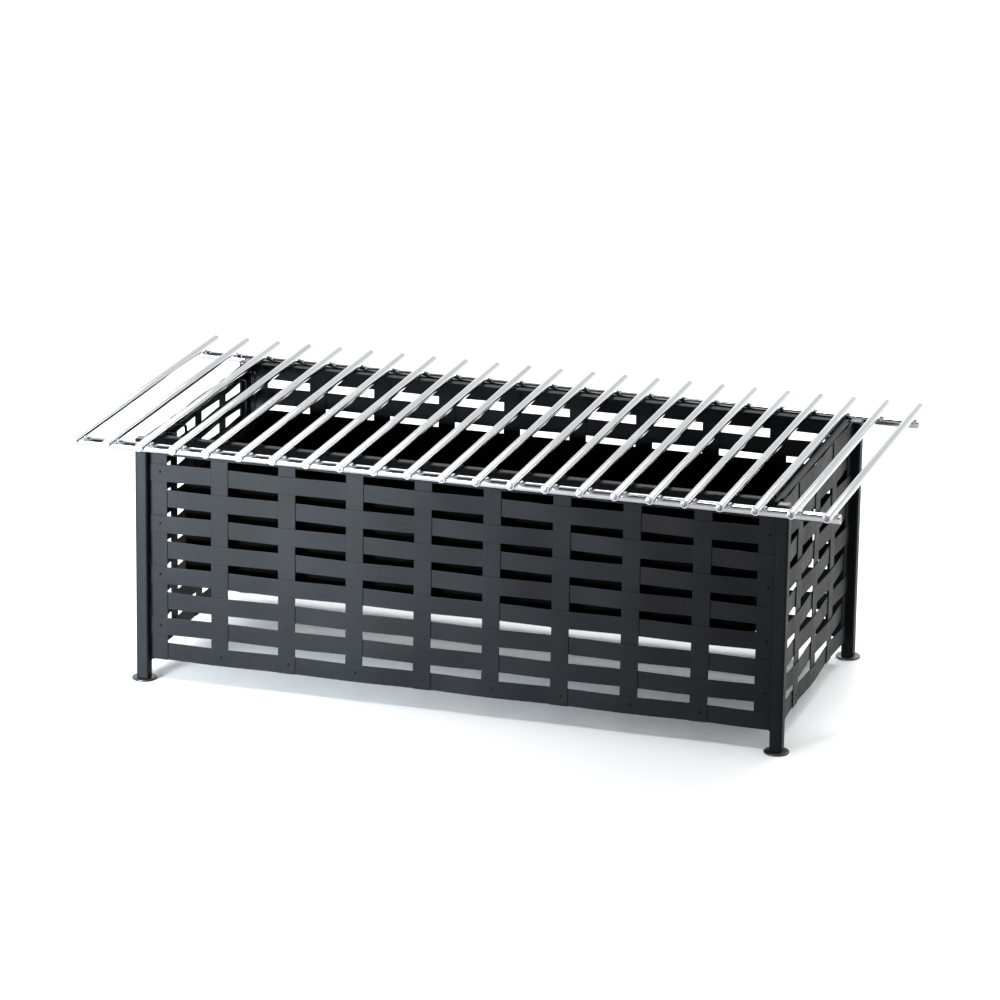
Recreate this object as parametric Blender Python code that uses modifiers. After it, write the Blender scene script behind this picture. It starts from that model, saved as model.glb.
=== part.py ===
"""Hibachi grill: an open stand of woven steel strips, a charcoal tray hung inside it and a loose
rod grate lying on top.

Units are metres and +Z is up. The front faces -Y and +X is to the right of somebody facing it.
The origin is on the floor, at the middle of the stand.
Solids that touch in the real object keep TOUCH_GAP between them.
"""

import math

import bmesh
import bpy

TOUCH_GAP = 0.0003
WELD_DISTANCE = 0.00001

# Legs: square tubes with a plastic cap on top and a plastic glide below.
LEG_SPAN_X = 0.676
LEG_SPAN_Y = 0.311
LEG_SIDE = 0.013
LEG_WALL = 0.0012
LEG_CORNER_RADIUS = 0.002
CORNER_STEPS = 3
LEG_TOP = 0.258

GLIDE_RADIUS = 0.013
GLIDE_HEIGHT = 0.0025
GLIDE_ROUNDING = 0.0008
GLIDE_STEM_RADIUS = 0.004
GLIDE_STEM_LENGTH = 0.008
GLIDE_STEPS = 24

CAP_HEIGHT = 0.003
CAP_ROUNDING = 0.0018
CAP_STEM_LENGTH = 0.008

# Woven panels between the legs, cut here as one lattice plate each.
STRIP_WIDTH = 0.0186
SLOT_HEIGHT = 0.009
LEVEL_STRIPS = 9
UPRIGHT_PITCH = 0.073
FRONT_INNER_UPRIGHTS = 8
SIDE_INNER_UPRIGHTS = 3
PANEL_THICKNESS = 0.0028
PANEL_SETBACK = 0.001
PANEL_BOTTOM = 0.0221

# Flat bars just inside the panels' top edges. The grate lies on them.
BAR_WIDTH = 0.0092
BAR_THICKNESS = 0.003
BAR_TOP = 0.2617

# Grate: cross rods from front to rear, on two rails that run left to right.
ROD_COUNT = 23
ROD_PITCH = 0.03575
ROD_RADIUS = 0.0044
ROD_LENGTH = 0.419
RAIL_RADIUS = 0.0049
RAIL_LENGTH = 0.8
RAIL_OFFSET_Y = 0.1758
ROD_SIDES = 14
ROD_CHAMFER = 0.0008
CHAMFER_ANGLE_LIMIT = math.radians(60)

# Bent strips that hang under the end bars, two near each corner, and carry the charcoal tray.
HOOK_WIDTH = 0.005
HOOK_THICKNESS = 0.0015
HOOK_REACH = 0.0155
HOOK_TAB_X = 0.331
HOOK_DROP = 0.0519
HOOK_TOP_BEND = 0.0025
HOOK_CURL_RADIUS = 0.004
HOOK_TIP_LENGTH = 0.001
HOOK_BEND_STEPS = 4
HOOK_CURL_STEPS = 8
HOOK_PLACES_Y = (-0.122, -0.09, 0.09, 0.122)

# Charcoal tray: a folded sheet box whose end flanges turn down into the curls of the hooks.
TRAY_HALF_LENGTH = 0.302
TRAY_HALF_WIDTH = 0.135
TRAY_UNDERSIDE = 0.108
TRAY_RIM = 0.213
TRAY_SHEET = 0.0012
TRAY_SIDE_FLANGE = 0.004
TRAY_LIP_DEPTH = 0.006

SIDE_SIGNS = {"left": -1, "right": 1}
DEPTH_SIGNS = {"front": -1, "rear": 1}

STAND_UPRIGHT = (math.pi / 2, 0, 0)
STAND_SIDEWAYS = (math.pi / 2, 0, math.pi / 2)
STAND_REVERSED = (math.pi / 2, 0, math.pi)


def clear_scene():
    for item in list(bpy.data.objects):
        bpy.data.objects.remove(item, do_unlink=True)


def new_collection(name):
    collection = bpy.data.collections.new(name)
    bpy.context.scene.collection.children.link(collection)
    return collection


def principled(name, colour, roughness, metallic):
    material = bpy.data.materials.new(name)
    material.use_nodes = True
    shader = material.node_tree.nodes["Principled BSDF"]
    shader.inputs["Base Color"].default_value = (*colour, 1.0)
    shader.inputs["Roughness"].default_value = roughness
    shader.inputs["Metallic"].default_value = metallic
    return material


def place(collection, name, mesh, material, location, rotation=(0, 0, 0)):
    """Add one named object that uses the mesh."""
    item = bpy.data.objects.new(name, mesh)
    item.location = location
    item.rotation_euler = rotation
    if not mesh.materials:
        mesh.materials.append(material)
    collection.objects.link(item)
    return item


def mesh_from_bmesh(name, shape, smooth_angle=None):
    mesh = bpy.data.meshes.new(name)
    bmesh.ops.recalc_face_normals(shape, faces=shape.faces)
    shape.to_mesh(mesh)
    shape.free()
    if smooth_angle is not None:
        mesh.shade_smooth()
        mesh.set_sharp_from_angle(angle=smooth_angle)
    return mesh


def plate_mesh(name, loops, thickness):
    """Extrude a flat outline with holes: the first loop is the outside, the others are holes."""
    curve = bpy.data.curves.new(name, "CURVE")
    curve.dimensions = "2D"
    curve.fill_mode = "BOTH"
    curve.extrude = thickness / 2
    for loop in loops:
        spline = curve.splines.new("POLY")
        spline.points.add(len(loop) - 1)
        for point, (x, y) in zip(spline.points, loop):
            point.co = (x, y, 0, 1)
        spline.use_cyclic_u = True
    guide = bpy.data.objects.new(name + "_guide", curve)
    bpy.context.scene.collection.objects.link(guide)
    evaluated = guide.evaluated_get(bpy.context.evaluated_depsgraph_get())
    flat = bpy.data.meshes.new_from_object(evaluated)
    shape = bmesh.new()
    shape.from_mesh(flat)
    bmesh.ops.remove_doubles(shape, verts=shape.verts, dist=WELD_DISTANCE)
    bpy.data.objects.remove(guide, do_unlink=True)
    bpy.data.meshes.remove(flat)
    return mesh_from_bmesh(name, shape)


def rectangle(x_low, x_high, y_low, y_high):
    return [(x_low, y_low), (x_high, y_low), (x_high, y_high), (x_low, y_high)]


def rounded_square(side, radius):
    """Outline of a square with its corners rounded by arcs."""
    points = []
    inset = side / 2 - radius
    for corner, (sx, sy) in enumerate(((1, 1), (-1, 1), (-1, -1), (1, -1))):
        for step in range(CORNER_STEPS + 1):
            angle = math.pi / 2 * (corner + step / CORNER_STEPS)
            points.append((sx * inset + radius * math.cos(angle), sy * inset + radius * math.sin(angle)))
    return points


def arc(centre, radius, start, end, steps):
    """Points along an arc, both ends included. Angles are in radians."""
    angles = [start + (end - start) * step / steps for step in range(steps + 1)]
    return [(centre[0] + radius * math.cos(a), centre[1] + radius * math.sin(a)) for a in angles]


def leg_mesh():
    length = LEG_TOP - GLIDE_HEIGHT - TOUCH_GAP
    bore = LEG_SIDE - 2 * LEG_WALL
    outside = rounded_square(LEG_SIDE, LEG_CORNER_RADIUS)
    inside = rounded_square(bore, LEG_CORNER_RADIUS - LEG_WALL)
    return plate_mesh("square_tube", [outside, inside], length)


def cap_mesh():
    """Domed cap with a square stem that plugs the tube. Its underside is at z = 0."""
    stem_side = LEG_SIDE - 2 * LEG_WALL - 2 * TOUCH_GAP
    shape = bmesh.new()
    bmesh.ops.create_cube(shape, size=1)
    bmesh.ops.scale(shape, vec=(LEG_SIDE, LEG_SIDE, CAP_HEIGHT), verts=shape.verts)
    bmesh.ops.translate(shape, vec=(0, 0, CAP_HEIGHT / 2), verts=shape.verts)
    rounded = [edge for edge in shape.edges if any(vert.co.z > WELD_DISTANCE for vert in edge.verts)]
    bmesh.ops.bevel(
        shape, geom=rounded, offset=CAP_ROUNDING, segments=CORNER_STEPS, profile=0.5, affect="EDGES"
    )
    bmesh.ops.remove_doubles(shape, verts=shape.verts, dist=WELD_DISTANCE)
    underside = [face for face in shape.faces if face.calc_center_median().z < WELD_DISTANCE]
    bmesh.ops.inset_region(shape, faces=underside, thickness=(LEG_SIDE - stem_side) / 2)
    stem = bmesh.ops.extrude_face_region(shape, geom=underside)
    stem_points = [part for part in stem["geom"] if isinstance(part, bmesh.types.BMVert)]
    bmesh.ops.translate(shape, vec=(0, 0, -CAP_STEM_LENGTH), verts=stem_points)
    bmesh.ops.delete(shape, geom=underside, context="FACES")
    return mesh_from_bmesh("domed_cap", shape, math.radians(50))


def glide_profile_mesh():
    """Half section of a glide, from the top of its stem down to the middle of its underside."""
    radius = GLIDE_RADIUS
    rounding = GLIDE_ROUNDING
    stem_top = GLIDE_HEIGHT + GLIDE_STEM_LENGTH
    profile = [(0, stem_top), (GLIDE_STEM_RADIUS, stem_top), (GLIDE_STEM_RADIUS, GLIDE_HEIGHT)]
    profile += arc((radius - rounding, GLIDE_HEIGHT - rounding), rounding, math.pi / 2, 0, CORNER_STEPS)
    profile += arc((radius - rounding, rounding), rounding, 0, -math.pi / 2, CORNER_STEPS)
    profile.append((0, 0))
    shape = bmesh.new()
    points = [shape.verts.new((x, 0, z)) for x, z in profile]
    for upper, lower in zip(points, points[1:]):
        shape.edges.new((upper, lower))
    mesh = bpy.data.meshes.new("round_glide")
    shape.to_mesh(mesh)
    shape.free()
    return mesh


def upright_centres(inner_count, span):
    """Places of the upright strips: evenly spaced ones, and one against each leg."""
    first = -UPRIGHT_PITCH * (inner_count - 1) / 2
    inner = [first + UPRIGHT_PITCH * place_number for place_number in range(inner_count)]
    end = panel_half_width(span) - STRIP_WIDTH / 2
    return [-end] + inner + [end]


def panel_half_width(span):
    return span / 2 - LEG_SIDE / 2 - TOUCH_GAP


def panel_height():
    return LEVEL_STRIPS * STRIP_WIDTH + (LEVEL_STRIPS - 1) * SLOT_HEIGHT


def panel_mesh(name, inner_count, span):
    """Lattice plate whose holes are the openings of the weave. Its lower edge is at y = 0."""
    half_width = panel_half_width(span)
    loops = [rectangle(-half_width, half_width, 0, panel_height())]
    centres = upright_centres(inner_count, span)
    for left, right in zip(centres, centres[1:]):
        for row in range(LEVEL_STRIPS - 1):
            low = STRIP_WIDTH + row * (STRIP_WIDTH + SLOT_HEIGHT)
            loops.append(rectangle(left + STRIP_WIDTH / 2, right - STRIP_WIDTH / 2, low, low + SLOT_HEIGHT))
    return plate_mesh(name, loops, PANEL_THICKNESS)


def bar_mesh(name, size_x, size_y):
    shape = bmesh.new()
    bmesh.ops.create_cube(shape, size=1)
    bmesh.ops.scale(shape, vec=(size_x, size_y, BAR_THICKNESS), verts=shape.verts)
    return mesh_from_bmesh(name, shape)


def round_bar_mesh(name, radius, length):
    """Solid round bar along Z, centred on the origin."""
    shape = bmesh.new()
    bmesh.ops.create_cone(
        shape, cap_ends=True, segments=ROD_SIDES, radius1=radius, radius2=radius, depth=length
    )
    return mesh_from_bmesh(name, shape, math.radians(40))


def hook_path():
    """Centre line of a hook: along its tab, down, and round a curl. X points inwards, Y up."""
    corner_x = HOOK_REACH - HOOK_TOP_BEND
    curl_centre = (HOOK_REACH + HOOK_CURL_RADIUS, HOOK_CURL_RADIUS - HOOK_DROP)
    path = [(0, 0)]
    path += arc((corner_x, -HOOK_TOP_BEND), HOOK_TOP_BEND, math.pi / 2, 0, HOOK_BEND_STEPS)
    path += arc(curl_centre, HOOK_CURL_RADIUS, math.pi, 2 * math.pi, HOOK_CURL_STEPS)
    path.append((curl_centre[0] + HOOK_CURL_RADIUS, curl_centre[1] + HOOK_TIP_LENGTH))
    return path


def thicken(path, thickness):
    """Closed outline of a strip of even thickness along an open path."""
    sides = ([], [])
    for number, (x, y) in enumerate(path):
        before = path[max(number - 1, 0)]
        after = path[min(number + 1, len(path) - 1)]
        length = math.dist(before, after)
        normal = ((before[1] - after[1]) / length, (after[0] - before[0]) / length)
        for side, sign in zip(sides, (1, -1)):
            side.append((x + sign * normal[0] * thickness / 2, y + sign * normal[1] * thickness / 2))
    return sides[0] + sides[1][::-1]


def extrude_edges(shape, edges):
    """Extrude open edges and give back the new points."""
    extruded = bmesh.ops.extrude_edge_only(shape, edges=edges)
    return [part for part in extruded["geom"] if isinstance(part, bmesh.types.BMVert)]


def tray_mesh():
    """Open surface of the tray's outer side: a box without a lid, then flanges, then end lips."""
    flange_z = TRAY_RIM - TRAY_SHEET
    lip_x = HOOK_TAB_X - HOOK_REACH - HOOK_CURL_RADIUS - TRAY_SHEET / 2
    flange_y = TRAY_HALF_WIDTH + TRAY_SIDE_FLANGE
    depth = flange_z - TRAY_UNDERSIDE
    shape = bmesh.new()
    bmesh.ops.create_cube(shape, size=1)
    bmesh.ops.scale(shape, vec=(2 * TRAY_HALF_LENGTH, 2 * TRAY_HALF_WIDTH, depth), verts=shape.verts)
    bmesh.ops.translate(shape, vec=(0, 0, TRAY_UNDERSIDE + depth / 2), verts=shape.verts)
    lid = [face for face in shape.faces if face.normal.z > 0.5]
    bmesh.ops.delete(shape, geom=lid, context="FACES_ONLY")
    rim = [edge for edge in shape.edges if edge.is_boundary]
    for point in extrude_edges(shape, rim):
        point.co.x = math.copysign(lip_x, point.co.x)
        point.co.y = math.copysign(flange_y, point.co.y)
    outer_edges = [edge for edge in shape.edges if edge.is_boundary]
    end_edges = [edge for edge in outer_edges if abs(edge.verts[0].co.x - edge.verts[1].co.x) < WELD_DISTANCE]
    for point in extrude_edges(shape, end_edges):
        point.co.z = TRAY_RIM - TRAY_LIP_DEPTH
    mesh = bpy.data.meshes.new("folded_tray")
    shape.to_mesh(mesh)
    shape.free()
    return mesh


def build_legs(collection, powder_coat, plastic):
    tube = leg_mesh()
    cap = cap_mesh()
    glide = glide_profile_mesh()
    tube_middle = (LEG_TOP + GLIDE_HEIGHT + TOUCH_GAP) / 2
    for depth_word, depth_sign in DEPTH_SIGNS.items():
        for side_word, side_sign in SIDE_SIGNS.items():
            place_name = depth_word + "_" + side_word
            x = side_sign * LEG_SPAN_X / 2
            y = depth_sign * LEG_SPAN_Y / 2
            place(collection, place_name + "_leg", tube, powder_coat, (x, y, tube_middle))
            place(collection, place_name + "_cap", cap, plastic, (x, y, LEG_TOP + TOUCH_GAP))
            foot = place(collection, place_name + "_glide", glide, plastic, (x, y, 0))
            turn = foot.modifiers.new("Turn", "SCREW")
            turn.steps = GLIDE_STEPS
            turn.render_steps = GLIDE_STEPS
            turn.use_merge_vertices = True
            turn.merge_threshold = WELD_DISTANCE


def build_panels(collection, powder_coat):
    inset = PANEL_SETBACK + PANEL_THICKNESS / 2
    wide = panel_mesh("wide_weave", FRONT_INNER_UPRIGHTS, LEG_SPAN_X)
    narrow = panel_mesh("narrow_weave", SIDE_INNER_UPRIGHTS, LEG_SPAN_Y)
    for word, sign in DEPTH_SIGNS.items():
        y = sign * (LEG_SPAN_Y / 2 - inset)
        place(collection, word + "_woven_panel", wide, powder_coat, (0, y, PANEL_BOTTOM), STAND_UPRIGHT)
    for word, sign in SIDE_SIGNS.items():
        x = sign * (LEG_SPAN_X / 2 - inset)
        place(collection, word + "_woven_panel", narrow, powder_coat, (x, 0, PANEL_BOTTOM), STAND_SIDEWAYS)


def build_top_bars(collection, powder_coat):
    """Long bars reach from leg to leg, and the end bars fit between them."""
    inset = PANEL_SETBACK + PANEL_THICKNESS + TOUCH_GAP + BAR_WIDTH / 2
    long_y = LEG_SPAN_Y / 2 - inset
    end_length = 2 * (long_y - BAR_WIDTH / 2 - TOUCH_GAP)
    z = BAR_TOP - BAR_THICKNESS / 2
    long_bar = bar_mesh("long_bar", 2 * panel_half_width(LEG_SPAN_X), BAR_WIDTH)
    end_bar = bar_mesh("end_bar", BAR_WIDTH, end_length)
    for word, sign in DEPTH_SIGNS.items():
        place(collection, word + "_top_bar", long_bar, powder_coat, (0, sign * long_y, z))
    for word, sign in SIDE_SIGNS.items():
        place(collection, word + "_top_bar", end_bar, powder_coat, (sign * (LEG_SPAN_X / 2 - inset), 0, z))


def build_hooks(collection, powder_coat):
    strip = plate_mesh("tray_hook", [thicken(hook_path(), HOOK_THICKNESS)], HOOK_WIDTH)
    z = BAR_TOP - BAR_THICKNESS - TOUCH_GAP - HOOK_THICKNESS / 2
    rotations = {"left": STAND_UPRIGHT, "right": STAND_REVERSED}
    for word, sign in SIDE_SIGNS.items():
        for number, y in enumerate(HOOK_PLACES_Y, start=1):
            name = f"{word}_tray_hook_{number}"
            place(collection, name, strip, powder_coat, (sign * HOOK_TAB_X, y, z), rotations[word])


def build_tray(collection, powder_coat):
    tray = place(collection, "charcoal_tray", tray_mesh(), powder_coat, (0, 0, 0))
    sheet = tray.modifiers.new("Sheet", "SOLIDIFY")
    sheet.thickness = TRAY_SHEET
    sheet.use_even_offset = True
    sheet.use_quality_normals = True


def chamfer_ends(item):
    bevel = item.modifiers.new("End chamfer", "BEVEL")
    bevel.width = ROD_CHAMFER
    bevel.segments = 1
    bevel.limit_method = "ANGLE"
    bevel.angle_limit = CHAMFER_ANGLE_LIMIT


def build_grate(collection, chrome):
    rod_z = BAR_TOP + TOUCH_GAP + ROD_RADIUS
    rail_z = rod_z - ROD_RADIUS - TOUCH_GAP - RAIL_RADIUS
    rod = round_bar_mesh("cross_rod", ROD_RADIUS, ROD_LENGTH)
    rail = round_bar_mesh("rail", RAIL_RADIUS, RAIL_LENGTH)
    for number in range(ROD_COUNT):
        x = (number - (ROD_COUNT - 1) / 2) * ROD_PITCH
        name = f"cross_rod_{number + 1:02d}"
        chamfer_ends(place(collection, name, rod, chrome, (x, 0, rod_z), (math.pi / 2, 0, 0)))
    for word, sign in DEPTH_SIGNS.items():
        location = (0, sign * RAIL_OFFSET_Y, rail_z)
        chamfer_ends(place(collection, word + "_rail", rail, chrome, location, (0, math.pi / 2, 0)))


def main():
    clear_scene()
    collection = new_collection("hibachi_grill")
    powder_coat = principled("powder_coat", (0.022, 0.024, 0.027), 0.5, 0.0)
    plastic = principled("black_plastic", (0.012, 0.012, 0.013), 0.4, 0.0)
    chrome = principled("chrome", (0.78, 0.79, 0.8), 0.12, 1.0)
    build_legs(collection, powder_coat, plastic)
    build_panels(collection, powder_coat)
    build_top_bars(collection, powder_coat)
    build_hooks(collection, powder_coat)
    build_tray(collection, powder_coat)
    build_grate(collection, chrome)


main()
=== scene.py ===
"""Looks of the hibachi grill: woven steel panels, square legs, chrome grate, studio floor and light.

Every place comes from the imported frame. Units are metres and +Z is up.
"""

import math

import bmesh
import bpy
import numpy as np
from mathutils import Matrix, Vector


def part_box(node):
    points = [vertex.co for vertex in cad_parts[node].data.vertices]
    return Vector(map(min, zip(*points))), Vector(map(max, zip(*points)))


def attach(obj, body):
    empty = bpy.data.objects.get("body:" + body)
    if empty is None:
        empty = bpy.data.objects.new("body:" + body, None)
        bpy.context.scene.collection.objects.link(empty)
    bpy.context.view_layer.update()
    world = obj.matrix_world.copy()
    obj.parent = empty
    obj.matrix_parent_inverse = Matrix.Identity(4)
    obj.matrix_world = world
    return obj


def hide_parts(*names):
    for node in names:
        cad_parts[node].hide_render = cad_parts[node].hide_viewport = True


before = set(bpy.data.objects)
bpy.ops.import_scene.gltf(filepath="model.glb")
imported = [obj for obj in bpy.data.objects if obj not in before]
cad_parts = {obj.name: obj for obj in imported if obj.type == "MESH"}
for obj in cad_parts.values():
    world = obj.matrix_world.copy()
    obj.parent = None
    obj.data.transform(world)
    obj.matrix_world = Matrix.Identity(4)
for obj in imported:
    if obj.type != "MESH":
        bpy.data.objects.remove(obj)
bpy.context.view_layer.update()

# Weave
STRIP_WIDTH = 0.0186
STRIP_THICKNESS = 0.00093
STRIP_EDGE_RADIUS = 0.0003
LEVEL_STRIPS = 9
UPRIGHT_PITCH = 0.073
INNER_UPRIGHTS = {"front": 8, "rear": 8, "left": 3, "right": 3}
# 0 where the first upright passes in front of the top level strip, 1 where it passes behind
WEAVE_START = {"front": 0, "rear": 0, "left": 1, "right": 1}
OUTWARD = {"front": (0, -1, 0), "rear": (0, 1, 0), "left": (-1, 0, 0), "right": (1, 0, 0)}
LEVEL_BEND_STEPS = 8
CORNER_WEB_RADIUS = 0.0042
CORNER_WEB_OVERLAP = 0.0006
CORNER_WEB_DEPTH_PART = 0.35

# How far apart the frame keeps solids that touch, and how far webs and tack welds reach past an edge
TOUCH_GAP = 0.0003
EDGE_REACH = 0.0002

# Weld marks. A pit sits off the crossing's middle by these parts of the strip's width.
PIT_RADIUS = 0.0012
PIT_RIM = 0.0002
PIT_PROFILE = [(1, 0), (0.92, 0.6), (0.8, 1), (0.66, 0.8), (0.5, 0.3), (0.3, 0.1), (0.1, 0.05)]
PIT_SEGMENTS = 20
PIT_PART_ACROSS = 0.12
PIT_PART_UP = 0.05
BEAD_SEGMENTS = 14
BEAD_RINGS = 8
BEAD_UNEVENNESS = 0.08
TACK_WELD_SIZE = (0.0013, 0.0045, 0.001)
TACK_WELD_DEPTH = 0.0004
BAR_WELD_SIZE = (0.0038, 0.0011, 0.0006)
BAR_WELD_DROP = 0.0006
BAR_UNDERSIDE_WELD_SIZE = (0.0036, 0.0014, 0.0008)
LEG_WELD_SIZE = (0.0012, 0.0028, 0.0012)
LEG_WELD_OFFSET = 0.0055
JOINT_WELD_SIZE = (0.0028, 0.0034, 0.0011)
SLIVER_WELD_SIZE = (0.0013, 0.0030, 0.0011)
SLIVER_OFFSET = 0.0022
SLIVER_DROP = 0.0002

# Stand details
LEG_CORNER_RADIUS = 0.002
BAR_EDGE_RADIUS = 0.0005
CAP_ROUNDING = 0.0018
CAP_CROWN = 0.0004
CAP_LOWER_EDGE = 0.0002
CAP_LARGEST_ROUNDING_PART = 0.98
CAP_CROWN_RINGS = (0.25, 0.5, 0.75, 0.95)
GLIDE_HEIGHT = 0.0025
GLIDE_ROUNDING = 0.0009
GLIDE_CROWN = 0.0003
GLIDE_CROWN_PART = 0.72
GLIDE_UNDERSIDE_PART = 0.86
HOOKS_PER_SIDE = 4
HOOK_THICKNESS = 0.0015
HOOK_EDGE_RADIUS = 0.0003
HOOK_REACH = 0.0155
HOOK_DROP = 0.0519
HOOK_TOP_BEND = 0.0025
HOOK_CURL_RADIUS = 0.004
HOOK_TIP_LENGTH = 0.001

# Charcoal tray
TRAY_SHEET = 0.0012
TRAY_SIDE_FLANGE = 0.004
TRAY_END_FLANGE = 0.0101
TRAY_LIP_DEPTH = 0.006
TRAY_LIP_BEND = 0.0024
TRAY_CORNER_RADIUS = 0.008
TRAY_BEND_RADIUS = 0.003

# Grate
ROD_ROUNDING = 0.0009
ROUND_SEGMENTS = 40
ROUNDING_STEPS = 8
END_FACE_RADIUS = 0.0031
END_FACE_RISE = 0.00008
END_FACE_DEPTH = 0.0002
END_FACE_FLAT_PART = 0.9

SMOOTH_ANGLE = math.radians(32)
RANDOM_SEED = 7

# Noise levels at which a blend of two colours, and a range of roughness, start and end
COLOUR_NOISE = (0.35, 0.65)
ROUGHNESS_NOISE = (0.3, 0.7)

# Camera
CAMERA_PLACE = (1.4120, -4.6537, 1.6890)
CAMERA_AZIMUTH = math.radians(16.903)
CAMERA_PITCH = math.radians(17.199)
CAMERA_ROLL = math.radians(0.847)
CAMERA_LENS = 176.59
CAMERA_SENSOR_WIDTH = 36

# Studio floor and walls. Stops are (sine of the elevation, grey level) pairs.
FLOOR_HALF = 14
WORLD_STRENGTH = 1.5
WALL_BLEND = 0.12
WALL_BLUENESS = 1.01
BEHIND_STOPS = ((0.0, 1.0), (1.0, 0.7), (0.09, 0.9), (0.2, 0.62), (0.34, 0.62), (0.55, 0.75))
BEFORE_STOPS = ((0.0, 0.5), (1.0, 0.03), (0.5, 0.5), (0.62, 0.05))

# Lights: place, aim, width and height, watts, spread in degrees and colour
LEFT_SOFTBOX = ((-0.85, -1.75, 0.2), (-0.42, -0.155, 0.14), (0.7, 0.3), 17, 44, (0.84, 0.93, 1.0))
REAR_SOFTBOX = ((0, 2.4, 1.9), (0, 0.1, 0), (3.2, 0.7), 30, 120, (1, 1, 1))
OVERHEAD_STRENGTH = 2.0
OVERHEAD_ANGLE = math.radians(22)
OVERHEAD_TILT = math.radians(10)

CORNERS = [(depth, side) for depth in ("front", "rear") for side in ("left", "right")]


# ---------------------------------------------------------------- mesh helpers


def make_object(name, vertices, faces, material, body, replaced=()):
    """One visible piece: a closed mesh in world coordinates that rides on a body."""
    mesh = bpy.data.meshes.new(name)
    mesh.from_pydata([tuple(point) for point in vertices], [], faces)
    shape = bmesh.new()
    shape.from_mesh(mesh)
    bmesh.ops.recalc_face_normals(shape, faces=shape.faces)
    shape.to_mesh(mesh)
    shape.free()
    mesh.shade_smooth()
    mesh.set_sharp_from_angle(angle=SMOOTH_ANGLE)
    mesh.materials.append(material)
    piece = bpy.data.objects.new(name, mesh)
    bpy.context.scene.collection.objects.link(piece)
    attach(piece, body)
    if replaced:
        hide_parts(*replaced)
    return piece


def skin(rings):
    """Vertices and faces of a closed skin over rings of points, with a flat cap at each end."""
    count = len(rings[0])
    vertices = [Vector(point) for ring in rings for point in ring]
    faces = []
    for number in range(len(rings) - 1):
        low = number * count
        for side in range(count):
            following = (side + 1) % count
            faces.append((low + side, low + following, low + count + following, low + count + side))
    faces.append(tuple(range(count)))
    faces.append(tuple(range(len(vertices) - count, len(vertices))))
    return vertices, faces


def merge(parts):
    """Join several (vertices, faces) pairs into one."""
    vertices = []
    faces = []
    for part_vertices, part_faces in parts:
        start = len(vertices)
        vertices += part_vertices
        faces += [tuple(start + index for index in face) for face in part_faces]
    return vertices, faces


def rounded_rectangle(width, height, radius, steps):
    """Outline with rounded corners. A point beside each corner keeps the long sides flat when shaded."""
    points = []
    beside = min(radius / 2, (min(width, height) - 2 * radius) / 4)
    for corner, (sx, sy) in enumerate(((1, 1), (-1, 1), (-1, -1), (1, -1))):
        centre_x = sx * (width / 2 - radius)
        centre_y = sy * (height / 2 - radius)
        arc = [math.pi / 2 * (corner + step / steps) for step in range(steps + 1)]
        outline = [(centre_x + radius * math.cos(a), centre_y + radius * math.sin(a)) for a in arc]
        first_x, first_y = outline[0]
        last_x, last_y = outline[-1]
        before = (first_x + beside * math.sin(arc[0]), first_y - beside * math.cos(arc[0]))
        after = (last_x - beside * math.sin(arc[-1]), last_y + beside * math.cos(arc[-1]))
        points += [before] + outline + [after]
    return points


def turned(profile, place, segments=ROUND_SEGMENTS):
    """Skin of a turned shape. The profile is (radius, height) pairs and place is a matrix."""
    rings = []
    for radius, height in profile:
        angles = [2 * math.pi * number / segments for number in range(segments)]
        ring = [Vector((radius * math.cos(a), radius * math.sin(a), height)) for a in angles]
        rings.append([place @ point for point in ring])
    return skin(rings)


def quarter(steps):
    """Angles from 0 to a right angle."""
    return [math.pi / 2 * step / steps for step in range(steps + 1)]


def run_at(path, index):
    """Unit direction of a flat path at one of its points."""
    before = path[max(index - 1, 0)]
    after = path[min(index + 1, len(path) - 1)]
    return Vector((after[0] - before[0], after[1] - before[1])).normalized()


def bead(centre, size, generator):
    """Lumpy ellipsoid, like a small blob of weld metal."""
    rings = []
    tilt = generator.uniform(-1, 1, 3) * BEAD_UNEVENNESS
    for ring_number in range(1, BEAD_RINGS):
        latitude = math.pi * (ring_number / BEAD_RINGS - 0.5)
        ring = []
        for number in range(BEAD_SEGMENTS):
            angle = 2 * math.pi * number / BEAD_SEGMENTS
            lump = 1 + tilt[0] * math.cos(angle * 2 + tilt[1] * 20) + tilt[2] * math.sin(angle * 3)
            x = size[0] * lump * math.cos(latitude) * math.cos(angle)
            y = size[1] * lump * math.cos(latitude) * math.sin(angle)
            z = size[2] * math.sin(latitude)
            ring.append(Vector(centre) + Vector((x, y, z)))
        rings.append(ring)
    return skin(rings)


# ---------------------------------------------------------------- materials


def new_material(name):
    material = bpy.data.materials.new(name)
    material.use_nodes = True
    shader = material.node_tree.nodes["Principled BSDF"]
    return material, material.node_tree, shader


def noise(tree, scale, detail, stretch=(1, 1, 1)):
    """Noise in the object's own coordinates, stretched along an axis if asked."""
    coordinates = tree.nodes.new("ShaderNodeTexCoord")
    mapping = tree.nodes.new("ShaderNodeMapping")
    mapping.inputs["Scale"].default_value = stretch
    texture = tree.nodes.new("ShaderNodeTexNoise")
    texture.inputs["Scale"].default_value = scale
    texture.inputs["Detail"].default_value = detail
    tree.links.new(coordinates.outputs["Object"], mapping.inputs["Vector"])
    tree.links.new(mapping.outputs["Vector"], texture.inputs["Vector"])
    return texture.outputs["Fac"]


def ramp_colour(tree, factor, target, dark, light):
    """Blend two colours by a noise factor."""
    ramp = tree.nodes.new("ShaderNodeValToRGB")
    for element, position, colour in zip(ramp.color_ramp.elements, COLOUR_NOISE, (dark, light)):
        element.position = position
        element.color = (*colour, 1)
    tree.links.new(factor, ramp.inputs["Fac"])
    tree.links.new(ramp.outputs["Color"], target)


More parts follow.
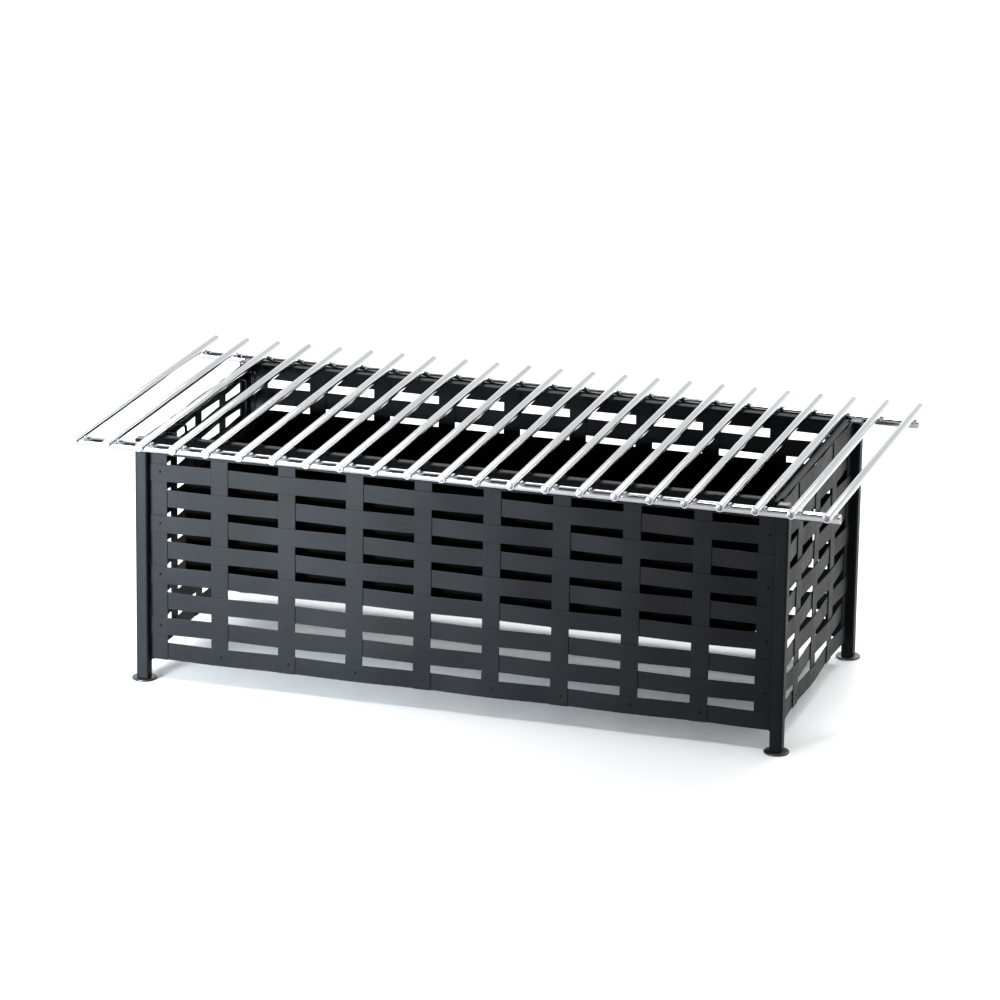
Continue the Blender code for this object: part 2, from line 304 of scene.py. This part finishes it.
def map_range(tree, factor, target, low, high):
    """Spread a noise factor over a range of roughness."""
    node = tree.nodes.new("ShaderNodeMapRange")
    node.inputs["From Min"].default_value = ROUGHNESS_NOISE[0]
    node.inputs["From Max"].default_value = ROUGHNESS_NOISE[1]
    node.inputs["To Min"].default_value = low
    node.inputs["To Max"].default_value = high
    tree.links.new(factor, node.inputs["Value"])
    tree.links.new(node.outputs["Result"], target)


def bump(tree, height, shader, strength, distance):
    node = tree.nodes.new("ShaderNodeBump")
    node.inputs["Strength"].default_value = strength
    node.inputs["Distance"].default_value = distance
    tree.links.new(height, node.inputs["Height"])
    tree.links.new(node.outputs["Normal"], shader.inputs["Normal"])


def powder_coat_material():
    """Satin black powder coat: a fine orange-peel texture with faint cloudy variation."""
    material, tree, shader = new_material("satin_powder_coat")
    shader.inputs["IOR"].default_value = 1.13
    colour = shader.inputs["Base Color"]
    ramp_colour(tree, noise(tree, 11, 4), colour, (0.0032, 0.0035, 0.0041), (0.0052, 0.0057, 0.0066))
    map_range(tree, noise(tree, 60, 5), shader.inputs["Roughness"], 0.36, 0.44)
    bump(tree, noise(tree, 850, 3), shader, 0.3, 0.00008)
    return material


def tray_material():
    """Heat-blackened sheet steel: dull, with soot-like patches. Its near-black colour is also painted
    shade for the inside of the stand.
    """
    material, tree, shader = new_material("blackened_steel_and_painted_shade")
    shader.inputs["IOR"].default_value = 1.04
    colour = shader.inputs["Base Color"]
    ramp_colour(tree, noise(tree, 14, 5), colour, (0.0005, 0.0005, 0.0004), (0.0015, 0.0014, 0.0013))
    map_range(tree, noise(tree, 30, 5), shader.inputs["Roughness"], 0.7, 0.9)
    bump(tree, noise(tree, 500, 4), shader, 0.3, 0.0001)
    return material


def chrome_material(name, stretch, dark, light):
    """Bright chrome plate over drawn rod: faint lines run along the rod."""
    material, tree, shader = new_material(name)
    shader.inputs["Metallic"].default_value = 1
    ramp_colour(tree, noise(tree, 40, 3, stretch), shader.inputs["Base Color"], dark, light)
    map_range(tree, noise(tree, 420, 4, stretch), shader.inputs["Roughness"], 0.05, 0.13)
    bump(tree, noise(tree, 700, 3, stretch), shader, 0.1, 0.00005)
    return material


def weld_material():
    """Plated weld metal: rougher than the rods, with a lumpy surface."""
    material, tree, shader = new_material("plated_weld")
    shader.inputs["Metallic"].default_value = 1
    colour = shader.inputs["Base Color"]
    ramp_colour(tree, noise(tree, 300, 3), colour, (0.42, 0.42, 0.43), (0.75, 0.75, 0.76))
    map_range(tree, noise(tree, 500, 2), shader.inputs["Roughness"], 0.14, 0.3)
    bump(tree, noise(tree, 650, 2), shader, 0.5, 0.0002)
    return material


def cut_end_material():
    """Sawn ends of the rods under thin plating: greyer than their sides, with fine saw lines. The grey
    is painted shade that stands in for a dim reflection.
    """
    material, tree, shader = new_material("plated_saw_cut")
    shader.inputs["Metallic"].default_value = 1
    lines = noise(tree, 900, 2, (1, 1, 0.08))
    colour = shader.inputs["Base Color"]
    ramp_colour(tree, lines, colour, (0.08, 0.08, 0.09), (0.17, 0.17, 0.18))
    map_range(tree, lines, shader.inputs["Roughness"], 0.25, 0.4)
    bump(tree, lines, shader, 0.3, 0.00006)
    return material


def plastic_material():
    """Black moulded plastic with a fine grained surface."""
    material, tree, shader = new_material("moulded_black_plastic")
    colour = shader.inputs["Base Color"]
    ramp_colour(tree, noise(tree, 90, 3), colour, (0.004, 0.004, 0.0045), (0.008, 0.008, 0.009))
    map_range(tree, noise(tree, 200, 3), shader.inputs["Roughness"], 0.3, 0.42)
    bump(tree, noise(tree, 1600, 2), shader, 0.25, 0.00006)
    return material


def floor_material():
    material, tree, shader = new_material("pale_floor")
    colour = shader.inputs["Base Color"]
    ramp_colour(tree, noise(tree, 2, 2), colour, (0.87, 0.87, 0.87), (0.89, 0.89, 0.89))
    shader.inputs["Roughness"].default_value = 0.6
    return material


# ---------------------------------------------------------------- woven panels


def panel_place(word):
    """Matrix from a panel's own axes (sideways, up, outward) to the world, at the panel's middle."""
    low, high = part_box(word + "_woven_panel")
    outward = Vector(OUTWARD[word])
    up = Vector((0, 0, 1))
    sideways = up.cross(outward)
    columns = Matrix((sideways, up, outward)).transposed().to_4x4()
    return Matrix.Translation((low + high) / 2) @ columns


def panel_size(word):
    """Width, height and thickness of a panel."""
    low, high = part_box(word + "_woven_panel")
    extent = high - low
    return max(extent.x, extent.y), extent.z, min(extent.x, extent.y)


def upright_centres(word):
    width = panel_size(word)[0]
    inner_count = INNER_UPRIGHTS[word]
    first = -UPRIGHT_PITCH * (inner_count - 1) / 2
    inner = [first + UPRIGHT_PITCH * number for number in range(inner_count)]
    end = (width - STRIP_WIDTH) / 2
    return [-end] + inner + [end]


def level_centres(word):
    height = panel_size(word)[1]
    pitch = (height - STRIP_WIDTH) / (LEVEL_STRIPS - 1)
    return [(height - STRIP_WIDTH) / 2 - pitch * number for number in range(LEVEL_STRIPS)]


def upright_in_front(word, upright, level):
    return (WEAVE_START[word] + upright + level) % 2 == 0


def weave_stations(width, uprights, sides, reach):
    """(distance, depth) pairs along a level strip: flat over each upright, easing over between them."""
    flat = STRIP_WIDTH / 2
    stations = [(-width / 2, sides[0] * reach)]
    for number in range(len(uprights) - 1):
        start = uprights[number] + flat
        gap = uprights[number + 1] - flat - start
        for step in range(LEVEL_BEND_STEPS + 1):
            part = step / LEVEL_BEND_STEPS
            ease = 0.5 * part + 0.5 * part * part * (3 - 2 * part)
            side = sides[number] + (sides[number + 1] - sides[number]) * ease
            stations.append((start + gap * part, reach * side))
    stations.append((width / 2, sides[-1] * reach))
    return stations


def ribbon(stations, across, place, upright):
    """Skin of a strip that follows the stations. across is its middle line's place in the panel."""
    section = rounded_rectangle(STRIP_WIDTH, STRIP_THICKNESS, STRIP_EDGE_RADIUS, 2)
    rings = []
    for number, (distance, depth) in enumerate(stations):
        run = run_at(stations, number)
        ring = []
        for wide, thick in section:
            along = distance - thick * run.y
            outward = depth + thick * run.x
            local = (across + wide, along, outward) if upright else (along, across + wide, outward)
            ring.append(place @ Vector(local))
        rings.append(ring)
    return skin(rings)


def build_weave(word, material):
    """Straight upright strips in the panel's middle plane, and level strips woven round them."""
    place = panel_place(word)
    width, height, thickness = panel_size(word)
    reach = (thickness - STRIP_THICKNESS) / 2
    uprights = upright_centres(word)
    for level, across in enumerate(level_centres(word)):
        order = range(len(uprights))
        sides = [-1 if upright_in_front(word, upright, level) else 1 for upright in order]
        stations = weave_stations(width, uprights, sides, reach)
        vertices, faces = ribbon(stations, across, place, upright=False)
        name = f"{word}_level_strip_{level + 1}"
        replaced = [word + "_woven_panel"] if level == 0 else []
        make_object(name, vertices, faces, material, "stand", replaced)
    for upright, across in enumerate(uprights):
        vertices, faces = ribbon([(-height / 2, 0), (height / 2, 0)], across, place, upright=True)
        name = f"{word}_upright_strip_{upright + 1}"
        make_object(name, vertices, faces, material, "stand")


def build_spot_welds(word, material):
    """Spot-weld pits: a low ring round a hollow, on whichever strip is in front at the crossing. Their
    near-black material is painted shade in the hollow.
    """
    place = panel_place(word)
    thickness = panel_size(word)[2]
    uprights = upright_centres(word)
    levels = level_centres(word)
    last = len(uprights) - 1
    profile = [(PIT_RADIUS, -PIT_RIM)]
    profile += [(PIT_RADIUS * radius, PIT_RIM * height) for radius, height in PIT_PROFILE]
    marked = [(end, level) for end in (0, last) for level in range(1, LEVEL_STRIPS, 2)]
    marked += [(upright, LEVEL_STRIPS - 1) for upright in range(1, last)]
    parts = []
    for upright, level in marked:
        in_front = upright_in_front(word, upright, level)
        face = STRIP_THICKNESS / 2 if in_front else thickness / 2
        across = uprights[upright] + STRIP_WIDTH * PIT_PART_ACROSS
        rise = levels[level] + STRIP_WIDTH * PIT_PART_UP
        parts.append(turned(profile, place @ Matrix.Translation((across, rise, face)), PIT_SEGMENTS))
    vertices, faces = merge(parts)
    make_object(word + "_spot_weld_marks", vertices, faces, material, "stand")


def build_corner_webs(word, material):
    """Small curved webs that close the corners between the panel's lower edge and the legs."""
    place = panel_place(word)
    width, height, thickness = panel_size(word)
    depth = thickness * CORNER_WEB_DEPTH_PART
    top = -height / 2 + CORNER_WEB_OVERLAP
    parts = []
    for sign in (-1, 1):
        edge = sign * (width / 2 + EDGE_REACH)
        centre = (edge - sign * CORNER_WEB_RADIUS, -height / 2 - CORNER_WEB_RADIUS)
        outline = [(edge, top), (edge - sign * CORNER_WEB_RADIUS, top)]
        for angle in reversed(quarter(ROUNDING_STEPS)):
            x = centre[0] + sign * CORNER_WEB_RADIUS * math.cos(angle)
            outline.append((x, centre[1] + CORNER_WEB_RADIUS * math.sin(angle)))
        rings = [[place @ Vector((x, y, z)) for x, y in outline] for z in (-depth, depth)]
        parts.append(skin(rings))
    vertices, faces = merge(parts)
    make_object(word + "_corner_webs", vertices, faces, material, "stand")


def build_end_welds(word, material, generator):
    """Tack welds on the inner side, where each level strip meets a leg."""
    place = panel_place(word)
    width, _, thickness = panel_size(word)
    parts = []
    for sign in (-1, 1):
        for across in level_centres(word):
            depth = -thickness / 2 + TACK_WELD_DEPTH
            centre = Vector((sign * (width / 2 - EDGE_REACH), across, depth))
            blob_vertices, blob_faces = bead(centre, TACK_WELD_SIZE, generator)
            parts.append(([place @ point for point in blob_vertices], blob_faces))
    vertices, faces = merge(parts)
    make_object(word + "_tack_welds", vertices, faces, material, "stand")


# ---------------------------------------------------------------- rest of the stand


def build_leg(corner_name, material):
    low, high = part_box(corner_name + "_leg")
    section = rounded_rectangle(high.x - low.x, high.y - low.y, LEG_CORNER_RADIUS, ROUNDING_STEPS)
    middle = (low + high) / 2
    rings = [[(middle.x + x, middle.y + y, z) for x, y in section] for z in (low.z, high.z)]
    vertices, faces = skin(rings)
    name = corner_name + "_tube"
    make_object(name, vertices, faces, material, "stand", [corner_name + "_leg"])


def build_cap(corner_name, material):
    """Domed square cap that sits on the tube."""
    leg_low, leg_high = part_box(corner_name + "_leg")
    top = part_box(corner_name + "_cap")[1].z
    side = leg_high.x - leg_low.x
    middle = (leg_low + leg_high) / 2
    base = leg_high.z + TOUCH_GAP
    shoulder = top - CAP_CROWN - CAP_ROUNDING
    steps = [(CAP_LOWER_EDGE, base), (0, base + CAP_LOWER_EDGE)]
    for angle in quarter(ROUNDING_STEPS):
        steps.append((CAP_ROUNDING * (1 - math.cos(angle)), shoulder + CAP_ROUNDING * math.sin(angle)))
    for part in CAP_CROWN_RINGS:
        inset = CAP_ROUNDING + (side / 2 - CAP_ROUNDING) * part
        steps.append((inset, top - CAP_CROWN * (1 - part) ** 2))
    rings = []
    for inset, z in steps:
        reduced = side - 2 * inset
        radius = min(max(LEG_CORNER_RADIUS, inset), reduced / 2) * CAP_LARGEST_ROUNDING_PART
        section = rounded_rectangle(reduced, reduced, radius, ROUNDING_STEPS)
        rings.append([(middle.x + x, middle.y + y, z) for x, y in section])
    vertices, faces = skin(rings)
    name = corner_name + "_dome_cap"
    make_object(name, vertices, faces, material, "stand", [corner_name + "_cap"])


def build_glide(corner_name, material):
    """Round glide: a disc with rounded edges and a slightly raised middle."""
    low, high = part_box(corner_name + "_glide")
    radius = (high.x - low.x) / 2
    rounding = GLIDE_ROUNDING
    rim_top = low.z + GLIDE_HEIGHT - GLIDE_CROWN
    profile = [(radius * GLIDE_UNDERSIDE_PART, low.z), (radius - rounding, low.z)]
    for angle in quarter(ROUNDING_STEPS)[1:]:
        x = radius - rounding + rounding * math.sin(angle)
        profile.append((x, low.z + rounding * (1 - math.cos(angle))))
    for angle in quarter(ROUNDING_STEPS):
        x = radius - rounding + rounding * math.cos(angle)
        profile.append((x, rim_top - rounding + rounding * math.sin(angle)))
    profile.append((radius * GLIDE_CROWN_PART, low.z + GLIDE_HEIGHT))
    middle = (low + high) / 2
    vertices, faces = turned(profile, Matrix.Translation((middle.x, middle.y, 0)))
    name = corner_name + "_floor_glide"
    make_object(name, vertices, faces, material, "stand", [corner_name + "_glide"])


def build_top_bar(word, material):
    """Flat bar with rounded edges. Long bars run along X and end bars along Y."""
    low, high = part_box(word + "_top_bar")
    along_x = high.x - low.x > high.y - low.y
    width = high.y - low.y if along_x else high.x - low.x
    section = rounded_rectangle(width, high.z - low.z, BAR_EDGE_RADIUS, 3)
    middle = (low + high) / 2
    ends = (low.x, high.x) if along_x else (low.y, high.y)
    rings = []
    for end in ends:
        if along_x:
            rings.append([(end, middle.y + a, middle.z + b) for a, b in section])
        else:
            rings.append([(middle.x + a, end, middle.z + b) for a, b in section])
    vertices, faces = skin(rings)
    name = word + "_ring_bar"
    make_object(name, vertices, faces, material, "stand", [word + "_top_bar"])


def build_bar_welds(material, generator):
    """Welds at the corners of the ring of flat bars and under their joints with the legs."""
    leg_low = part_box("rear_right_leg")[0]
    parts = []
    for sign_x in (-1, 1):
        for sign_y in (-1, 1):
            end_low, end_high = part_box("right_top_bar" if sign_x > 0 else "left_top_bar")
            x = (end_low.x + end_high.x) / 2
            y = sign_y * (end_high.y + TOUCH_GAP / 2)
            z = end_high.z - BAR_WELD_DROP
            parts.append(bead((x, y, z), BAR_WELD_SIZE, generator))
            parts.append(bead((x, y, end_low.z), BAR_UNDERSIDE_WELD_SIZE, generator))
            beside_leg = sign_x * (leg_low.x - TOUCH_GAP)
            leg_y = y + sign_y * LEG_WELD_OFFSET
            parts.append(bead((beside_leg, leg_y, end_low.z), LEG_WELD_SIZE, generator))
    vertices, faces = merge(parts)
    make_object("ring_bar_welds", vertices, faces, material, "stand")


def hook_path():
    """Centre line of a hook: along its tab, down, and round a curl. X points inwards, Y up."""
    points = [(0, 0)]
    corner_x = HOOK_REACH - HOOK_TOP_BEND
    for angle in quarter(ROUNDING_STEPS):
        x = corner_x + HOOK_TOP_BEND * math.sin(angle)
        points.append((x, HOOK_TOP_BEND * (math.cos(angle) - 1)))
    centre_x = HOOK_REACH + HOOK_CURL_RADIUS
    centre_y = HOOK_CURL_RADIUS - HOOK_DROP
    curl_steps = 2 * ROUNDING_STEPS
    for step in range(curl_steps + 1):
        angle = math.pi * (1 + step / curl_steps)
        x = centre_x + HOOK_CURL_RADIUS * math.cos(angle)
        points.append((x, centre_y + HOOK_CURL_RADIUS * math.sin(angle)))
    points.append((centre_x + HOOK_CURL_RADIUS, centre_y + HOOK_TIP_LENGTH))
    return points


def build_hook(side, number, material):
    """Bent strip with rounded edges, swept along the hook's path."""
    node = f"{side}_tray_hook_{number}"
    low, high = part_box(node)
    inward = -1 if side == "right" else 1
    start_x = high.x if side == "right" else low.x
    middle_y = (low.y + high.y) / 2
    top_z = high.z - HOOK_THICKNESS / 2
    section = rounded_rectangle(high.y - low.y, HOOK_THICKNESS, HOOK_EDGE_RADIUS, 2)
    path = hook_path()
    rings = []
    for index, (x, z) in enumerate(path):
        run = run_at(path, index)
        ring = []
        for wide, thick in section:
            local_x = x - thick * run.y
            ring.append((start_x + inward * local_x, middle_y + wide, top_z + z + thick * run.x))
        rings.append(ring)
    vertices, faces = skin(rings)
    name = f"{side}_bent_hook_{number}"
    make_object(name, vertices, faces, material, "stand", [node])


def tray_ring(half_length, half_width, z, radius):
    section = rounded_rectangle(2 * half_length, 2 * half_width, radius, ROUNDING_STEPS)
    return [(x, y, z) for x, y in section]


def tray_profile(low, rim):
    """Outer and inner skins of the sheet, as (distance out from the wall's face, height) pairs."""
    tight = TRAY_BEND_RADIUS - TRAY_SHEET
    flange_z = rim - TRAY_SHEET
    outer = []
    inner = []
    for angle in quarter(ROUNDING_STEPS):
        rise = 1 - math.cos(angle)
        back = math.sin(angle) - 1
        outer.append((TRAY_BEND_RADIUS * back, low + TRAY_BEND_RADIUS * rise))
        inner.append((tight * back - TRAY_SHEET, low + TRAY_SHEET + tight * rise))
    for angle in quarter(ROUNDING_STEPS):
        outer.append((tight * (1 - math.cos(angle)), flange_z - tight * (1 - math.sin(angle))))
        out = tight - TRAY_BEND_RADIUS * math.cos(angle)
        inner.append((out, flange_z - tight + TRAY_BEND_RADIUS * math.sin(angle)))
    return outer, inner[::-1]


def tray_lip(edge_x, half_width, rim):
    """Lip that turns down from an end flange. edge_x is its outer face, with its sign."""
    sign = math.copysign(1, edge_x)
    section = [(TRAY_SHEET, rim - TRAY_LIP_DEPTH), (0, rim - TRAY_LIP_DEPTH)]
    for angle in quarter(ROUNDING_STEPS):
        back = TRAY_LIP_BEND * (1 - math.cos(angle))
        section.append((back, rim - TRAY_LIP_BEND * (1 - math.sin(angle))))
    tight = TRAY_LIP_BEND - TRAY_SHEET
    for angle in reversed(quarter(ROUNDING_STEPS)):
        back = TRAY_LIP_BEND - tight * math.cos(angle)
        section.append((back, rim - TRAY_LIP_BEND + tight * math.sin(angle)))
    ends = (-half_width, half_width)
    return skin([[(edge_x - sign * back, y, z) for back, z in section] for y in ends])


def build_tray(material):
    """Folded sheet tray with rounded bends, a flange all round and lips that hang in the hooks."""
    low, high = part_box("charcoal_tray")
    wall_x = high.x - TRAY_END_FLANGE
    wall_y = high.y - TRAY_SIDE_FLANGE
    radius = TRAY_CORNER_RADIUS
    outer, inner = tray_profile(low.z, high.z)
    rings = [tray_ring(wall_x + out, wall_y + out, z, radius + out) for out, z in outer]
    for z in (high.z - TRAY_SHEET, high.z):
        rings.append(tray_ring(high.x - TRAY_LIP_BEND, high.y, z, radius))
    rings += [tray_ring(wall_x + out, wall_y + out, z, radius + out) for out, z in inner]
    parts = [skin(rings)]
    for edge_x in (low.x, high.x):
        parts.append(tray_lip(edge_x, high.y - radius, high.z))
    vertices, faces = merge(parts)
    make_object("sheet_steel_tray", vertices, faces, material, "tray", ["charcoal_tray"])


# ---------------------------------------------------------------- grate


def round_bar(name, node, axis, material):
    """Round bar with rounded ends along the X or Y axis."""
    low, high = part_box(node)
    middle = (low + high) / 2
    extent = high - low
    length = extent.x if axis == "X" else extent.y
    radius = (extent.y if axis == "X" else extent.z) / 2
    straight = length / 2 - ROD_ROUNDING
    profile = [(radius - ROD_ROUNDING, -length / 2)]
    for angle in quarter(ROUNDING_STEPS)[1:]:
        ring_radius = radius - ROD_ROUNDING * (1 - math.sin(angle))
        profile.append((ring_radius, -straight - ROD_ROUNDING * math.cos(angle)))
    profile += [(ring_radius, -height) for ring_radius, height in reversed(profile)]
    turn = Matrix.Rotation(math.pi / 2, 4, "Y" if axis == "X" else "X")
    vertices, faces = turned(profile, Matrix.Translation(middle) @ turn)
    make_object(name, vertices, faces, material, "grate", [node])


def end_faces(node, axis):
    """Thin discs on both ends of a round bar, where the saw cut shows."""
    low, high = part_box(node)
    middle = (low + high) / 2
    half_length = (high.x - low.x if axis == "X" else high.y - low.y) / 2
    profile = [(END_FACE_RADIUS, -END_FACE_DEPTH), (END_FACE_RADIUS, 0)]
    profile.append((END_FACE_RADIUS * END_FACE_FLAT_PART, END_FACE_RISE))
    parts = []
    for sign in (-1, 1):
        angle = math.pi / 2 * (sign if axis == "X" else -sign)
        turn = Matrix.Rotation(angle, 4, "Y" if axis == "X" else "X")
        reach = sign * half_length
        offset = Vector((reach, 0, 0)) if axis == "X" else Vector((0, reach, 0))
        parts.append(turned(profile, Matrix.Translation(middle + offset) @ turn, PIT_SEGMENTS))
    return parts


def rail_welds(word, rods, generator):
    """Small welds where each rod crosses a rail: one in the joint and a sliver on either side."""
    low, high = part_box(word + "_rail")
    rail_y = (low.y + high.y) / 2
    parts = []
    for node in rods:
        rod_low, rod_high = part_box(node)
        x = (rod_low.x + rod_high.x) / 2
        parts.append(bead((x, rail_y, rod_low.z), JOINT_WELD_SIZE, generator))
        for side in (-1, 1):
            centre = (x + side * SLIVER_OFFSET, rail_y, rod_low.z - SLIVER_DROP)
            parts.append(bead(centre, SLIVER_WELD_SIZE, generator))
    return parts


def build_grate(rod_chrome, shaded_rail_chrome, weld, cut_end, generator):
    rods = sorted(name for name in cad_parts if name.startswith("cross_rod_"))
    ends = []
    for number, node in enumerate(rods, start=1):
        round_bar(f"rod_{number:02d}", node, "Y", rod_chrome)
        ends += end_faces(node, "Y")
    for word in ("front", "rear"):
        rail_node = word + "_rail"
        round_bar(word + "_round_rail", rail_node, "X", shaded_rail_chrome)
        ends += end_faces(rail_node, "X")
        vertices, faces = merge(rail_welds(word, rods, generator))
        make_object(word + "_rail_welds", vertices, faces, weld, "grate")
    vertices, faces = merge(ends)
    make_object("sawn_end_faces", vertices, faces, cut_end, "grate")


# ---------------------------------------------------------------- studio


def build_floor():
    """Wide, level, pale floor that reaches past the camera's view."""
    half = FLOOR_HALF
    vertices = [(-half, -half, 0), (half, -half, 0), (half, half, 0), (-half, half, 0)]
    mesh = bpy.data.meshes.new("studio_floor")
    mesh.from_pydata(vertices, [], [(0, 1, 2, 3)])
    floor = bpy.data.objects.new("studio_floor", mesh)
    mesh.materials.append(floor_material())
    bpy.context.scene.collection.objects.link(floor)


def height_ramp(tree, height, stops):
    """Grey levels by height. The first two of the stops are the ramp's ends."""
    ramp = tree.nodes.new("ShaderNodeValToRGB")
    elements = ramp.color_ramp.elements
    for number, (position, level) in enumerate(stops):
        element = elements[number] if number < 2 else elements.new(position)
        element.position = position
        element.color = (level, level, level * WALL_BLUENESS, 1)
    tree.links.new(height, ramp.inputs["Fac"])
    return ramp.outputs["Color"]


def build_world():
    """Soft white studio: a bright wall behind the object, and a dark gap over a pale wall before it."""
    world = bpy.data.worlds.new("studio")
    bpy.context.scene.world = world
    world.use_nodes = True
    tree = world.node_tree
    background = tree.nodes["Background"]
    coordinates = tree.nodes.new("ShaderNodeTexCoord")
    split = tree.nodes.new("ShaderNodeSeparateXYZ")
    tree.links.new(coordinates.outputs["Generated"], split.inputs["Vector"])
    behind = height_ramp(tree, split.outputs["Z"], BEHIND_STOPS)
    before = height_ramp(tree, split.outputs["Z"], BEFORE_STOPS)
    side = tree.nodes.new("ShaderNodeMapRange")
    side.inputs["From Min"].default_value = -WALL_BLEND
    side.inputs["From Max"].default_value = WALL_BLEND
    blend = tree.nodes.new("ShaderNodeMix")
    blend.data_type = "RGBA"
    tree.links.new(split.outputs["Y"], side.inputs["Value"])
    tree.links.new(side.outputs["Result"], blend.inputs["Factor"])
    colour_a, colour_b = [socket for socket in blend.inputs if socket.type == "RGBA"]
    result = next(socket for socket in blend.outputs if socket.type == "RGBA")
    tree.links.new(before, colour_a)
    tree.links.new(behind, colour_b)
    tree.links.new(result, background.inputs["Color"])
    background.inputs["Strength"].default_value = WORLD_STRENGTH


def add_area_light(name, place, target, size, power, spread, colour):
    light = bpy.data.lights.new(name, "AREA")
    light.shape = "RECTANGLE"
    light.size = size[0]
    light.size_y = size[1]
    light.energy = power
    light.spread = math.radians(spread)
    light.color = colour
    holder = bpy.data.objects.new(name, light)
    holder.location = place
    direction = Vector(target) - Vector(place)
    holder.rotation_euler = direction.to_track_quat("-Z", "Y").to_euler()
    holder.visible_camera = False
    bpy.context.scene.collection.objects.link(holder)


def build_lights():
    """A low softbox at the front left, a wide one at the rear, and a broad light from overhead."""
    add_area_light("left_softbox", *LEFT_SOFTBOX)
    add_area_light("rear_softbox", *REAR_SOFTBOX)
    sun = bpy.data.lights.new("overhead_softbox", "SUN")
    sun.energy = OVERHEAD_STRENGTH
    sun.angle = OVERHEAD_ANGLE
    holder = bpy.data.objects.new("overhead_softbox", sun)
    holder.rotation_euler = (OVERHEAD_TILT, 0, 0)
    bpy.context.scene.collection.objects.link(holder)


def build_camera():
    data = bpy.data.cameras.new("camera")
    data.lens = CAMERA_LENS
    data.sensor_width = CAMERA_SENSOR_WIDTH
    camera = bpy.data.objects.new("camera", data)
    camera.location = CAMERA_PLACE
    heading = Matrix.Rotation(CAMERA_AZIMUTH, 3, "Z")
    pitch = Matrix.Rotation(math.pi / 2 - CAMERA_PITCH, 3, "X")
    roll = Matrix.Rotation(CAMERA_ROLL, 3, "Z")
    camera.rotation_euler = (heading @ pitch @ roll).to_euler()
    bpy.context.scene.collection.objects.link(camera)
    bpy.context.scene.camera = camera


def build_stand(generator):
    powder_coat = powder_coat_material()
    plastic = plastic_material()
    # Near-black blackened steel, darkened past its own colour as painted shade for the stand's inside
    # and for the spot-weld pits
    scorched_and_painted_shade = tray_material()
    build_tray(scorched_and_painted_shade)
    for word in OUTWARD:
        build_weave(word, powder_coat)
        # The spot-weld pits take the near-black tray material as painted shade
        build_spot_welds(word, scorched_and_painted_shade)
        build_corner_webs(word, powder_coat)
        build_end_welds(word, powder_coat, generator)
        build_top_bar(word, powder_coat)
    build_bar_welds(powder_coat, generator)
    for depth, side in CORNERS:
        corner_name = depth + "_" + side
        build_leg(corner_name, powder_coat)
        build_cap(corner_name, plastic)
        build_glide(corner_name, plastic)
    for side in ("left", "right"):
        for number in range(1, HOOKS_PER_SIDE + 1):
            build_hook(side, number, powder_coat)


def main():
    generator = np.random.default_rng(RANDOM_SEED)
    build_camera()
    build_floor()
    build_world()
    build_lights()
    build_stand(generator)
    rod_chrome = chrome_material("rod_chrome", (1, 0.04, 1), (0.54, 0.55, 0.56), (0.62, 0.63, 0.64))
    # The rails' chrome is darker than the rods' as painted shade, standing in for a dimmer reflection of
    # the floor
    shaded_rail_chrome = chrome_material("shaded_rail_chrome", (0.04, 1, 1), (0.40, 0.41, 0.42), (0.48, 0.49, 0.50))
    build_grate(rod_chrome, shaded_rail_chrome, weld_material(), cut_end_material(), generator)
    bpy.context.scene.view_settings.view_transform = "Standard"


main()
